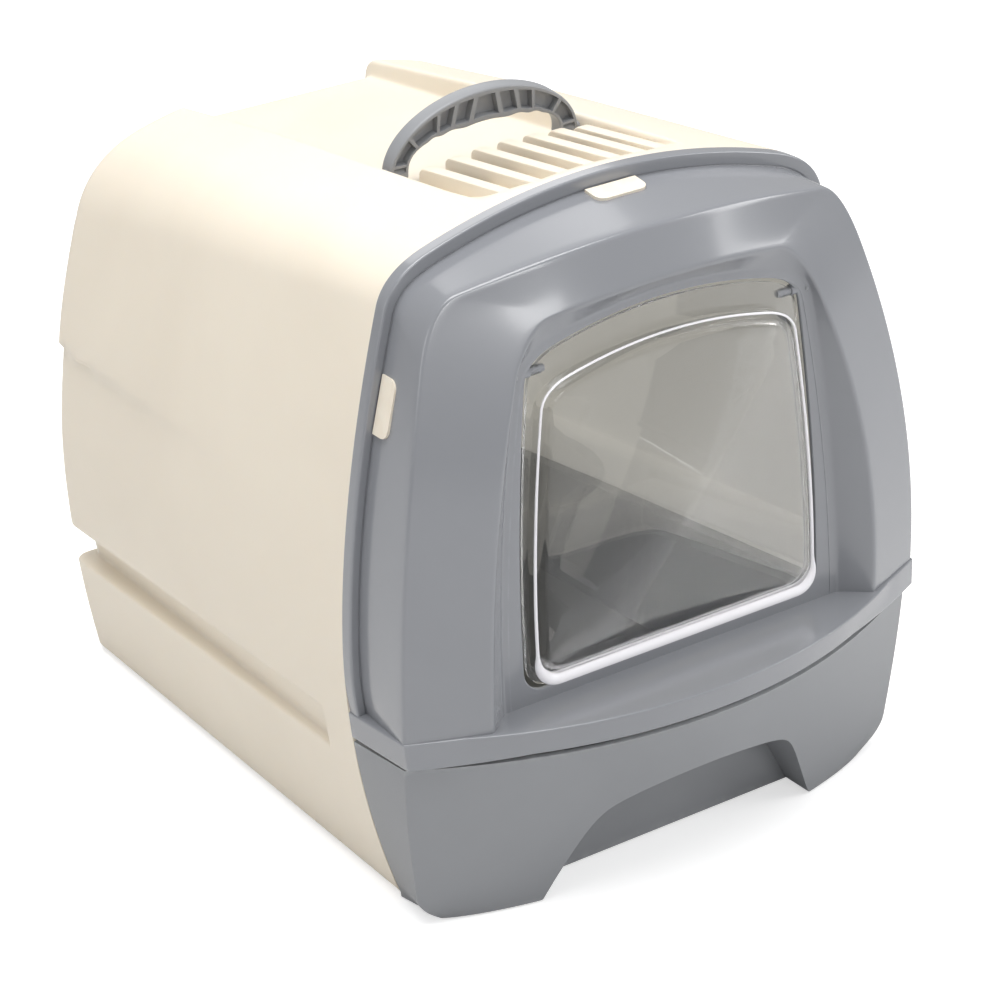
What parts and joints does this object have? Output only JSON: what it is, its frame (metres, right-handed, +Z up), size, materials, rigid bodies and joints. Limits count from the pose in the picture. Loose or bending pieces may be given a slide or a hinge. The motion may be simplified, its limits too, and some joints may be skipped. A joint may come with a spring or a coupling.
{
  "type": "cat litter box with hood",
  "caption": "Hooded cat litter box with a swinging clear door, a pull-out litter drawer, roof vents with a carbon filter and a folding carry handle.",
  "frame": {"origin": "on the floor, under the middle of the overall box", "axes": "+Z up, -Y out of the door, +X to the right seen from behind the door looking in"},
  "size_m": [0.44, 0.5976, 0.508],
  "materials": {
    "cream_shell": "fine satin moulded, warm cream",
    "grey_gloss": "smooth moulded, mid grey",
    "grey_satin": "satin moulded grey",
    "dark_grey": "smooth dark grey",
    "carbon_foam": "coarse black carbon felt",
    "clear_door": "clear thermoformed sheet"
  },
  "bodies": {
    "box_body": {"housing": "cream_shell", "front_bezel": "grey_gloss", "bezel_clip_top": "cream_shell", "bezel_clip_left": "cream_shell", "bezel_clip_right": "cream_shell", "door_pivot_left": "dark_grey", "door_pivot_right": "dark_grey", "handle_pin_left": "grey_satin", "handle_pin_right": "grey_satin", "filter_cover": "grey_satin", "carbon_filter": "carbon_foam"},
    "door": {"door_pane": "clear_door"},
    "drawer": {"drawer_front": "grey_gloss", "litter_pan": "dark_grey", "pan_lug_left": "dark_grey", "pan_lug_right": "dark_grey"},
    "handle": {"carry_handle": "grey_satin"}
  },
  "joints": [
    {"name": "door_swing", "type": "hinge", "parent": "box_body", "child": "door", "pos_m": [0, -0.235, 0.391], "axis": [1, 0, 0], "range_deg": [-75, 75]},
    {"name": "drawer_slide", "type": "slide", "parent": "box_body", "child": "drawer", "axis": [0, -1, 0], "range_m": [0, 0.39]},
    {"name": "handle_fold", "type": "hinge", "parent": "box_body", "child": "handle", "pos_m": [0, -0.028, 0.45863], "axis": [-1, 0, 0], "range_deg": [0, 85]}
  ]
}
